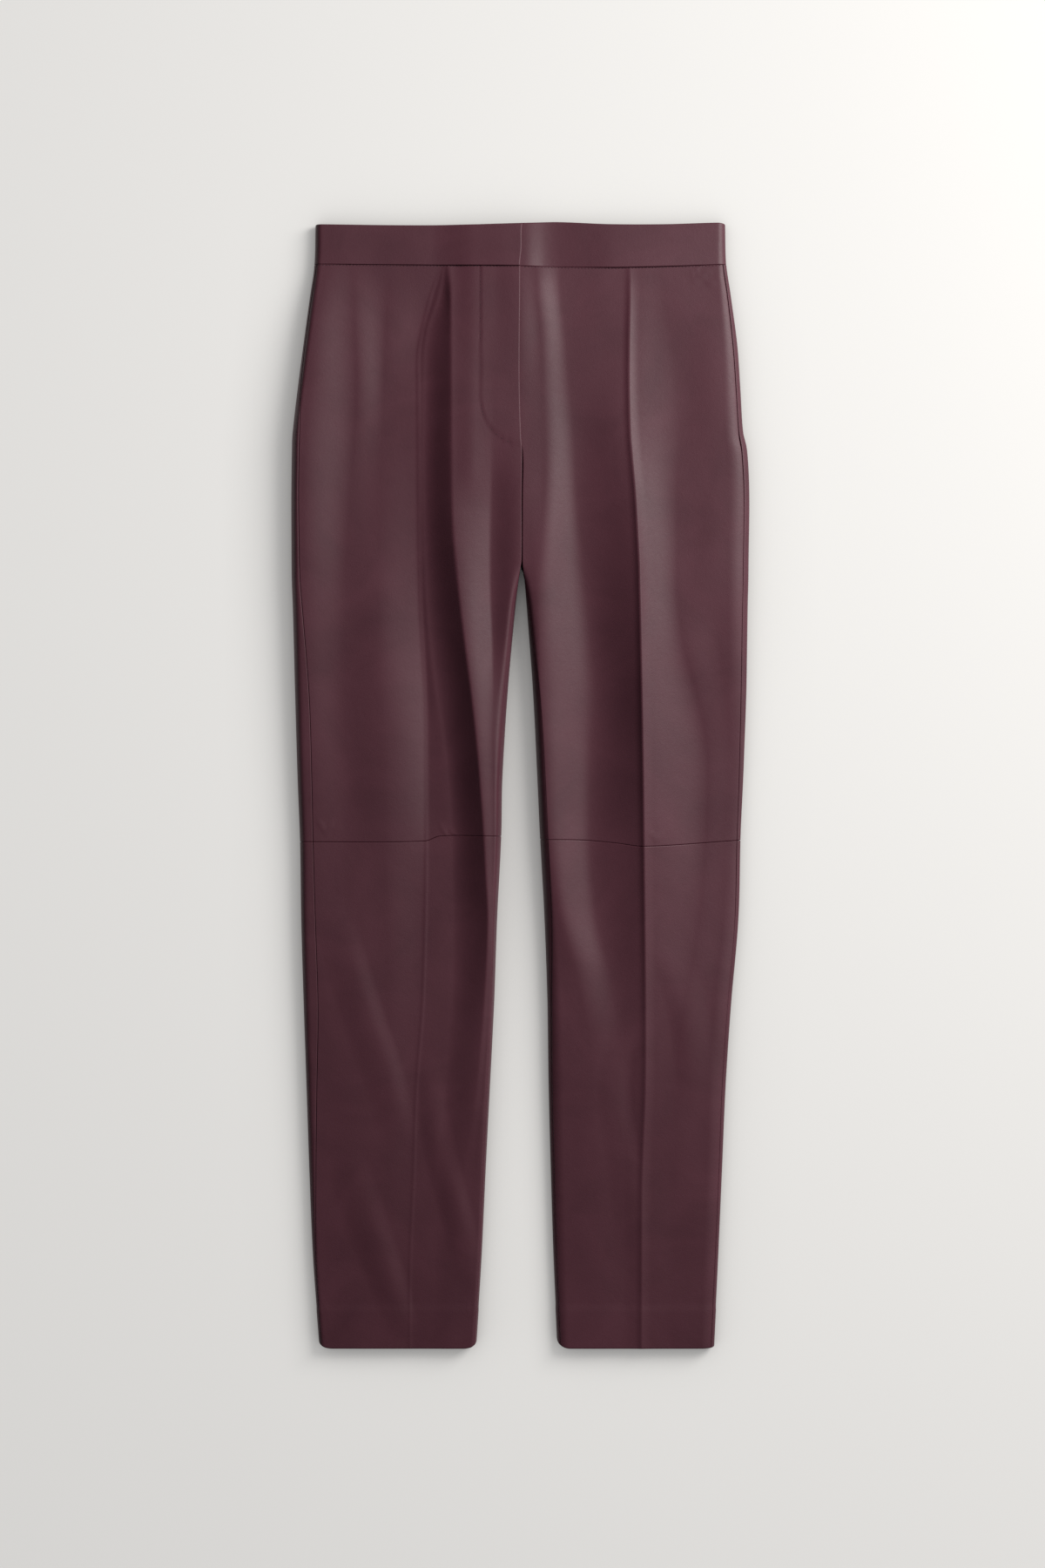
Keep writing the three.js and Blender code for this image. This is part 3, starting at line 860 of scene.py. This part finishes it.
def sectionOfBack(leg, drop):
    # one row round the leg: outseam, roll down the outer side, along the table, and up round the inner side
    cut = leg["cut"]
    outer, inner = valueAt(cut, "outer", drop), valueAt(cut, "inner", drop)
    side = valueAt(heights, "side", drop)
    reach = valueAt(cut, "outseam", drop) - seamGap / 2
    s = np.linspace(0, 1, backTurn["rollSteps"])
    acrossTop = outer - reach * (1 - s) ** 2
    roll = np.stack([acrossTop, topHeight(leg, acrossTop, np.full_like(acrossTop, drop))], -1)
    turn = np.linspace(0, math.pi / 2, backTurn["bendSteps"])[1:]
    bend = np.stack([outer - side * (1 - np.cos(turn)), side * (1 - np.sin(turn))], -1)
    rise = side * float(ease(drop, crotch - backTurn["riseFrom"], crotch))
    share = float(ease(drop, crotch - backTurn["partFrom"], crotch + backTurn["partTo"]))
    centre = max(gap / 2, gap / 2 + (inner - gap / 2) * share)
    turn = np.linspace(0, math.pi / 2, backTurn["wrapSteps"])
    wrap = np.stack([centre + rise * (1 - np.sin(turn)), rise * (1 - np.cos(turn))], -1)
    parts = [roll, bend, wrap]
    lip = valueAt(cut, "inseam", drop) - seamGap / 2
    if drop > crotch and lip > 0:
        s = np.linspace(0, 1, backTurn["lipSteps"])[1:]
        acrossLip = max(centre, inner) + lip * s * s
        parts.append(np.stack([acrossLip, topHeight(leg, acrossLip, np.full_like(acrossLip, drop))], -1))
    points = np.concatenate(parts)
    run = np.concatenate([[0], np.cumsum(np.linalg.norm(np.diff(points, axis=0), axis=1))])
    return points, run, run[len(roll) + len(bend) - 1]


def backPanel(name, leg, upper, lower, hem, material):
    # each row is laid out by its length round the leg, with columns close together at the seams
    near = np.array([0, 0.12, 0.3, 0.55, 0.9, 1.4])
    length = panelLength(leg, upper, lower)
    rows = graded(length, True, True, panel["dropStep"] * backGrid["rowShare"])

    def section(drop):
        across, z = np.empty_like(drop), np.empty_like(drop)
        middle = drop[:, drop.shape[1] // 2]
        for i, level in enumerate(middle):
            points, run, rolled = sectionOfBack(leg, float(level))
            whole = run[-1]
            turnIn = whole - backGrid["innerReach"]
            at = np.concatenate([near, np.linspace(backGrid["clear"], rolled, backGrid["rolls"]),
                                 np.linspace(rolled, turnIn, backGrid["flats"])[1:-1],
                                 np.linspace(turnIn, whole - backGrid["clear"], backGrid["wraps"]),
                                 whole - near[::-1]])
            across[i] = np.interp(at, run, points[:, 0])
            z[i] = np.interp(at, run, points[:, 1])
        return across, z

    count = 2 * len(near) + backGrid["rolls"] + backGrid["flats"] - 2 + backGrid["wraps"]
    across, drop, z = panelGrid(leg, section, upper, lower, np.zeros(count), rows)
    outer = toPlace(leg, across, drop, z)
    fromTop = rows[:, None] * length * np.ones_like(across)
    edge = np.full(count, backGrid["offSeam"])
    edge[:len(near)] = near
    edge[-len(near):] = near[::-1]
    fromSides = edge[None, :] * np.ones_like(across)
    return dressPanel(name, leg, outer, drop, fromTop, length - fromTop, fromSides, hem, material)


# The waistband: each half is folded double, with its fold along the top and round the front end
band = {
    "columnStep": 2.0, "rowStep": 3.0, "foldRadius": 1.15, "seamRoll": 0.5, "endWave": 0.4, "waveLength": 5,
    "topDrop": 2, "frontLength": 200, "frontClear": 2.5, "backColumns": 40, "backClear": 1.6, "bendSteps": 15,
    "lapFrom": 42, "lapTo": 80, "topShare": 0.6, "riseDepth": 98, "foldLeft": 0.04, "wallLeft": 0.03,
}


def bandHeight(leg, across, drop):
    # the waistband stands up towards the centre, where its two ends and the fastening lie in layers
    overlap = leg["lap"] * (bandWall + gap) * (1 - ease(across, band["lapFrom"], band["lapTo"]))
    rise = band["topShare"] + drop / band["riseDepth"]
    lift = curveAt(leg["bandRelief"], "high", across, "across") * rise
    side = curveAt(heights, "side", drop)
    fromOuter = curveAt(leg["cut"], "outer", drop) - across
    top = curveAt(heights, "crown", drop) + overlap + lift
    return side + (top - side) * quarter(fromOuter / curveAt(leg["rolls"], "outer", drop))


def bandRow(leg, nominal):
    # one row of the waistband, from its front end over the front, round the side and along the back
    outer = valueAt(leg["cut"], "outer", nominal)
    inside = valueAt(leg["rolls"], "outer", nominal)
    side = valueAt(heights, "side", nominal)
    start = -underlap
    if leg["lap"]:
        wave = band["endWave"] * math.sin(nominal / band["waveLength"])
        start = valueAt(leg["cut"], "inner", nominal) + wave
    near = np.array([0, 0.1, 0.25, 0.45, 0.7, 1.0, 1.5])
    columns = int(band["frontLength"] / band["columnStep"])
    flat = np.linspace(start + band["frontClear"], outer - inside, columns)
    roll = outer - inside * (1 - np.linspace(0, 1, band["bendSteps"])[1:]) ** 2
    front = np.concatenate([start + near, flat, roll])
    turn = np.linspace(0, math.pi / 2, band["bendSteps"])[1:]
    back = np.linspace(outer - side, gap / 2 + band["backClear"], band["backColumns"])[1:]
    acrossAll = np.concatenate([front, outer - side * (1 - np.cos(turn)), back, gap / 2 + near[-2::-1]])
    frontHeight = bandHeight(leg, front, np.full_like(front, nominal))
    onTable = np.zeros(len(acrossAll) - len(front) - len(turn))
    z = np.concatenate([frontHeight, side * (1 - np.sin(turn)), onTable])
    run = np.concatenate([[0], np.cumsum(np.hypot(np.diff(acrossAll), np.diff(z)))])
    return acrossAll, z, run


def waistBand(name, leg, material):
    # rows from the folded top to the seam; the fold thins the wall from both faces, the seams from outside
    depth = bandSeamDrop - band["topDrop"]
    shares = graded(depth, True, True, band["rowStep"])
    rows = [bandRow(leg, band["topDrop"] + share * depth) for share in shares]
    across = np.array([row[0] for row in rows])
    z = np.array([row[1] for row in rows])
    run = np.array([row[2] for row in rows])
    topEdge = curveAt(leg["bandTop"], "drop", across, "across")
    seam = curveAt(leg["bandSeam"], "drop", across, "across") - seamGap / 2
    drop = topEdge + (seam - topEdge) * shares[:, None]
    outer = toPlace(leg, across, drop, z)
    normal = surfaceNormals(outer, leg["side"])
    fold = rollIn(shares[:, None] * depth, band["foldRadius"]) + rollIn(run, band["foldRadius"])
    seamSink = rollIn((1 - shares[:, None]) * depth, band["seamRoll"])
    seamSink = seamSink + rollIn(run[:, -1:] - run, band["seamRoll"])
    fold = np.minimum(fold, bandWall / 2 - band["foldLeft"])
    inner = outer - normal * (bandWall - fold)[..., None]
    outer = outer - normal * np.minimum(fold + seamSink, bandWall / 2 - band["wallLeft"])[..., None]
    return shellMesh(name, outer, inner, leg["side"], material)


# The strip behind the fly, carried on from the wearer's left front under the right one
shield = {"tuck": 2.0, "columns": 26, "rows": 90, "belowBand": 2.5, "aboveEnd": 3}


def flyShield(name, leg, material):
    # the front's own height, let down by one layer, a gap and the fly's groove
    across = np.linspace(shield["tuck"] + gap, underlap, shield["columns"])
    across = across[None, :] * np.ones((shield["rows"], 1))
    drop = np.linspace(bandSeamDrop + shield["belowBand"], flyEnd - shield["aboveEnd"], shield["rows"])
    drop = drop[:, None] * np.ones_like(across)
    z = topHeight(leg, across, drop) - leather - gap - fly["groove"]
    outer = toPlace(leg, across, drop, z)
    normal = surfaceNormals(outer, leg["side"])
    return shellMesh(name, outer, outer - normal * leather, leg["side"], material)


# Sewing: rows of short stitches, each a small thread capsule half sunk in the leather
sewing = {
    "pitch": 3.0, "length": 1.9, "thickness": 0.5, "around": 8, "rings": 5, "bluntness": 0.35,
    "belowBand": 0.9,
    "lapStart": 1.0, "underStart": 2.0, "outerEnd": 183.0, "flyTop": 2, "flyStop": 0.03, "backStart": 4,
}


def stitchRow(name, path, up, material):
    # stitches lie at even steps along the path, each turned to its direction
    run = np.concatenate([[0], np.cumsum(np.linalg.norm(np.diff(path, axis=0), axis=1))])
    places = np.arange(sewing["pitch"] / 2, run[-1], sewing["pitch"])
    centre = np.stack([np.interp(places, run, path[:, i]) for i in range(3)], -1)
    step = 0.5
    ahead = np.stack([np.interp(places + step, run, path[:, i]) for i in range(3)], -1)
    behind = np.stack([np.interp(places - step, run, path[:, i]) for i in range(3)], -1)
    along = ahead - behind
    along /= np.linalg.norm(along, axis=1, keepdims=True)
    lift = np.stack([np.interp(places, run, up[:, i]) for i in range(3)], -1)
    beside = np.cross(lift, along)
    beside /= np.linalg.norm(beside, axis=1, keepdims=True)
    lift = np.cross(along, beside)

    # one stitch: rings of points whose radius follows a flattened semicircle, closed at both ends
    rings, around = sewing["rings"], sewing["around"]
    x = np.cos(np.linspace(0, math.pi, rings + 2))[1:-1]
    radius = (1 - x * x) ** sewing["bluntness"] * sewing["thickness"] / 2
    turn = np.arange(around) * 2 * math.pi / around
    shape = np.concatenate([
        [[sewing["length"] / 2, 0, 0]],
        np.stack([np.repeat(x * sewing["length"] / 2, around), np.outer(radius, np.cos(turn)).ravel(),
                  np.outer(radius, np.sin(turn)).ravel()], -1),
        [[-sewing["length"] / 2, 0, 0]],
    ])
    first = 1 + np.arange(around)
    second = np.roll(first, -1)
    ends = len(shape) - 1
    faces = [np.stack([np.zeros(around, int), first, second], -1)]
    for ring in range(rings - 1):
        a, b = first + ring * around, second + ring * around
        faces += [np.stack([a, a + around, b + around], -1), np.stack([a, b + around, b], -1)]
    last = (rings - 1) * around
    faces.append(np.stack([first + last, np.full(around, ends), second + last], -1))
    faces = np.concatenate(faces)

    axes = np.stack([along, beside, lift], 1)
    points = centre[:, None, :] + np.einsum("pk,skc->spc", shape, axes)
    allFaces = faces[None] + (np.arange(len(centre)) * len(shape))[:, None, None]
    return makeMesh(name, points.reshape(-1, 3), allFaces.reshape(-1, 3), material)


def frontPath(leg, across, drop):
    # a row of points on the front's outer face, with the direction that points out of the leather
    step = 0.4
    z = topHeight(leg, across, drop)
    slopeAcross = (topHeight(leg, across + step, drop) - topHeight(leg, across - step, drop)) / (2 * step)
    slopeDown = (topHeight(leg, across, drop + step) - topHeight(leg, across, drop - step)) / (2 * step)
    up = np.stack([-leg["side"] * slopeAcross, slopeDown, np.ones_like(z)], -1)
    return toPlace(leg, across, drop, z), up / np.linalg.norm(up, axis=1, keepdims=True)


def waistStitches(name, leg, material):
    # a row just under the waistband, from the front opening to the outer side
    start = sewing["lapStart"] + sewing["underStart"] * (1 - leg["lap"])
    across = np.linspace(start, sewing["outerEnd"], 400)
    path, up = frontPath(leg, across, bandLine(leg, across) + sewing["belowBand"])
    return stitchRow(name, path, up, material)


def flyStitches(name, leg, material):
    # straight down, then a quarter ellipse in to the fly's lower end
    down = np.linspace(bandSeamDrop + sewing["flyTop"], fly["curveFrom"], 120)
    turn = np.linspace(0, math.pi / 2 - sewing["flyStop"], 90)[1:]
    curve = (fly["stitchAcross"] + fly["overhang"]) * np.cos(turn) - fly["overhang"]
    across = np.concatenate([np.full_like(down, fly["stitchAcross"]), curve])
    drop = np.concatenate([down, fly["curveFrom"] + (fly["curveTo"] - fly["curveFrom"]) * np.sin(turn)])
    path, up = frontPath(leg, across, drop)
    return stitchRow(name, path, up, material)


def backStitches(name, leg, material):
    # the same row goes on round the back, just under the waistband
    level = bandSeamDrop + gap / 2 + sewing["belowBand"]
    points, run, _ = sectionOfBack(leg, level)
    apart = np.concatenate([[True], np.diff(run) > 1e-6])
    path = toPlace(leg, points[:, 0], np.full(len(points), level), points[:, 1])[apart][sewing["backStart"]:]
    tangent = np.gradient(path, axis=0)
    up = np.cross(tangent, [0.0, 1.0, 0.0]) * -leg["side"]
    up /= np.maximum(np.linalg.norm(up, axis=1, keepdims=True), 1e-9)
    return stitchRow(name, path, up, material)


def threadMaterial(name):
    # twisted thread, darker than the leather, with fine slanting bands in the bump
    look = {"colour": (0.020, 0.004, 0.008, 1), "roughness": 0.62, "twist": 2600.0, "twistDistance": 0.00005}
    material = bpy.data.materials.new(name)
    material.use_nodes = True
    nodes, links = material.node_tree.nodes, material.node_tree.links
    shader = nodes["Principled BSDF"]
    shader.inputs["Base Color"].default_value = look["colour"]
    shader.inputs["Roughness"].default_value = look["roughness"]
    coordinates = nodes.new("ShaderNodeTexCoord")
    wave = nodes.new("ShaderNodeTexWave")
    wave.bands_direction = "DIAGONAL"
    wave.inputs["Scale"].default_value = look["twist"]
    bump = nodes.new("ShaderNodeBump")
    bump.inputs["Distance"].default_value = look["twistDistance"]
    links.new(coordinates.outputs["Object"], wave.inputs["Vector"])
    links.new(wave.outputs["Fac"], bump.inputs["Height"])
    links.new(bump.outputs["Normal"], shader.inputs["Normal"])
    return material


def leatherMaterial(name):
    # garment leather: burgundy with faint clouding, pebbled grain in the bump, uneven shine
    look = {
        "dark": (0.062, 0.0145, 0.0245, 1), "mid": (0.071, 0.0175, 0.0285, 1),
        "light": (0.081, 0.0210, 0.0335, 1),
        "darkUpTo": 0.32, "midAt": 0.5, "lightFrom": 0.70, "roughLow": 0.50, "roughHigh": 0.64,
        "specular": 0.36, "ior": 1.5, "coat": 0.05, "coatRoughness": 0.28, "turned": 0.35,
        "cloudScale": 14.0, "waveScale": 38.0, "creaseScale": 330.0, "grainScale": 1150.0,
        "waveDistance": 0.0003, "creaseDistance": 0.00016, "grainDistance": 0.00013,
        "waveStrength": 0.5, "creaseStrength": 0.55, "grainStrength": 0.5,
    }
    material = bpy.data.materials.new(name)
    material.use_nodes = True
    nodes, links = material.node_tree.nodes, material.node_tree.links
    shader = nodes["Principled BSDF"]
    shader.inputs["Specular IOR Level"].default_value = look["specular"]
    shader.inputs["IOR"].default_value = look["ior"]
    shader.inputs["Coat Weight"].default_value = look["coat"]
    shader.inputs["Coat Roughness"].default_value = look["coatRoughness"]
    coordinates = nodes.new("ShaderNodeTexCoord")
    mapping = nodes.new("ShaderNodeMapping")
    mapping.inputs["Rotation"].default_value = (0, 0, look["turned"])
    links.new(coordinates.outputs["Object"], mapping.inputs["Vector"])

    def noise(scale, detail, roughness, distortion=0.0):
        node = nodes.new("ShaderNodeTexNoise")
        node.inputs["Scale"].default_value = scale
        node.inputs["Detail"].default_value = detail
        node.inputs["Roughness"].default_value = roughness
        node.inputs["Distortion"].default_value = distortion
        links.new(mapping.outputs["Vector"], node.inputs["Vector"])
        return node

    cloud = noise(look["cloudScale"], 4, 0.6, 0.6)
    ramp = nodes.new("ShaderNodeValToRGB")
    ramp.color_ramp.elements[0].position = look["darkUpTo"]
    ramp.color_ramp.elements[0].color = look["dark"]
    ramp.color_ramp.elements[1].position = look["lightFrom"]
    ramp.color_ramp.elements[1].color = look["light"]
    middle = ramp.color_ramp.elements.new(look["midAt"])
    middle.color = look["mid"]
    links.new(cloud.outputs["Fac"], ramp.inputs["Fac"])
    links.new(ramp.outputs["Color"], shader.inputs["Base Color"])

    grain = nodes.new("ShaderNodeTexVoronoi")
    grain.feature = "DISTANCE_TO_EDGE"
    grain.inputs["Scale"].default_value = look["grainScale"]
    links.new(mapping.outputs["Vector"], grain.inputs["Vector"])
    fine = noise(look["creaseScale"], 5, 0.65, 0.8)
    wave = noise(look["waveScale"], 3, 0.5)

    shine = nodes.new("ShaderNodeMapRange")
    shine.inputs["To Min"].default_value = look["roughLow"]
    shine.inputs["To Max"].default_value = look["roughHigh"]
    links.new(fine.outputs["Fac"], shine.inputs["Value"])
    links.new(shine.outputs["Result"], shader.inputs["Roughness"])

    previous = None
    for source, distance, strength in (
        (wave.outputs["Fac"], look["waveDistance"], look["waveStrength"]),
        (fine.outputs["Fac"], look["creaseDistance"], look["creaseStrength"]),
        (grain.outputs["Distance"], look["grainDistance"], look["grainStrength"]),
    ):
        bump = nodes.new("ShaderNodeBump")
        bump.inputs["Distance"].default_value = distance
        bump.inputs["Strength"].default_value = strength
        links.new(source, bump.inputs["Height"])
        if previous:
            links.new(previous.outputs["Normal"], bump.inputs["Normal"])
        previous = bump
    links.new(previous.outputs["Normal"], shader.inputs["Normal"])
    return material


# Studio: camera first, then the table top and soft boxes
# the table top's own glow is painted light, and its fade near the leather is painted shade
studio = {
    "photoHeight": 1800, "pixel": 0.78, "centreAcross": 1.95, "centreUp": 1.2, "lens": 90.0, "film": 36.0,
    "eyeLift": 0.008, "tableHalf": 4.0, "tableDrop": 0.0004, "paperRoughness": 0.85,
    "paper": (0.335, 0.33, 0.322, 1), "paintedGlowColour": (1.0, 0.985, 0.965, 1), "paintedGlowStrength": 0.50,
    "paintedShadeReach": 0.065, "world": (0.93, 0.96, 1.0, 1), "worldStrength": 0.06,
}
lights = {
    "keyBox": {
        "place": (1.6, 1.1, 1.5), "width": 1.1, "depth": 1.6, "power": 86, "colour": (1.0, 0.985, 0.96),
    },
    "fillBox": {
        "place": (-1.2, -0.2, 2.2), "width": 0.9, "depth": 1.4, "power": 1.5, "colour": (0.96, 0.98, 1.0),
    },
}


def aimLight(name, place, width, depth, power, colour):
    # a soft box that looks at the middle of the table
    light = bpy.data.lights.new(name, "AREA")
    light.shape = "RECTANGLE"
    light.size, light.size_y = width, depth
    light.energy = power
    light.color = colour
    lamp = bpy.data.objects.new(name, light)
    bpy.context.scene.collection.objects.link(lamp)
    lamp.location = place
    lamp.rotation_euler = (-Vector(place)).to_track_quat("-Z", "Y").to_euler()


def buildStudio():
    # an overhead camera, a pale table top with a painted glow (it emits light though it is no lamp) that
    # painted shade darkens close to the leather, and two soft boxes
    camera = bpy.data.cameras.new("overheadCamera")
    camera.sensor_fit = "VERTICAL"
    camera.sensor_height = studio["film"]
    camera.lens = studio["lens"]
    viewHeight = studio["photoHeight"] * studio["pixel"] * mm
    distance = viewHeight * studio["lens"] / camera.sensor_height
    eye = bpy.data.objects.new("overheadCamera", camera)
    bpy.context.scene.collection.objects.link(eye)
    eye.location = (studio["centreAcross"] * mm, studio["centreUp"] * mm, distance + studio["eyeLift"])
    bpy.context.scene.camera = eye

    paper = bpy.data.materials.new("tableTop")
    paper.use_nodes = True
    shader = paper.node_tree.nodes["Principled BSDF"]
    shader.inputs["Base Color"].default_value = studio["paper"]
    shader.inputs["Roughness"].default_value = studio["paperRoughness"]
    # painted light: the table top glows by itself, which lifts its shadows and lights the leather's lower
    # edges
    shader.inputs["Emission Strength"].default_value = studio["paintedGlowStrength"]
    nodes, links = paper.node_tree.nodes, paper.node_tree.links
    # painted shade: ambient occlusion darkens the table's glow near the leather and in the gap between the
    # legs
    paintedContactShade = nodes.new("ShaderNodeAmbientOcclusion")
    paintedContactShade.inputs["Color"].default_value = studio["paintedGlowColour"]
    paintedContactShade.inputs["Distance"].default_value = studio["paintedShadeReach"]
    links.new(paintedContactShade.outputs["Color"], shader.inputs["Emission Color"])
    mesh = bpy.data.meshes.new("tableTop")
    s, z = studio["tableHalf"], -studio["tableDrop"]
    mesh.from_pydata([(-s, -s, z), (s, -s, z), (s, s, z), (-s, s, z)], [], [(0, 1, 2, 3)])
    mesh.materials.append(paper)
    floor = bpy.data.objects.new("tableTop", mesh)
    bpy.context.scene.collection.objects.link(floor)

    world = bpy.data.worlds.new("studioAir")
    world.use_nodes = True
    world.node_tree.nodes["Background"].inputs["Color"].default_value = studio["world"]
    world.node_tree.nodes["Background"].inputs["Strength"].default_value = studio["worldStrength"]
    bpy.context.scene.world = world
    for name, light in lights.items():
        aimLight(name, **light)
    bpy.context.scene.view_settings.view_transform = "Standard"


buildStudio()
print("studio ready")

hide = leatherMaterial("burgundyNappa")
thread = threadMaterial("burgundyThread")
pieces = []


def dress(piece, node):
    # the piece stands for one solid of the frame
    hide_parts(node)
    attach(piece, "root")
    pieces.append(piece)


spans = {"thigh": (bandLine, aboveKnee, False), "shin": (belowKnee, hemLine, True)}
for leg in (rightLeg, leftLeg):
    for span, (upper, lower, hem) in spans.items():
        for face, build in (("front", frontPanel), ("back", backPanel)):
            node = f"{face}_{span}_{leg['name']}"
            piece = build(f"{node}_leather", leg, upper, lower, hem, hide)
            dress(piece, node)
            print("panel", node, len(piece.data.polygons), "faces")

for leg in (rightLeg, leftLeg):
    node = f"waistband_{leg['name']}"
    dress(waistBand(f"{node}_leather", leg, hide), node)
dress(flyShield("fly_shield_leather", rightLeg, hide), "fly_shield")
print("waistband and fly shield done")

stitches = [flyStitches("fly_stitches", rightLeg, thread)]
for leg in (rightLeg, leftLeg):
    stitches.append(waistStitches(f"waist_stitches_front_{leg['name']}", leg, thread))
    stitches.append(backStitches(f"waist_stitches_back_{leg['name']}", leg, thread))
for piece in stitches:
    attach(piece, "root")
print("sewing done:", sum(len(piece.data.polygons) for piece in stitches), "faces")

# Each piece's frame node, from the piece's name. A piece is cut with 10 mm for each seam and the hem's
# turning; each waistband half is one face of its fold.
for piece in pieces:
    node = piece.name.removesuffix("_leather")
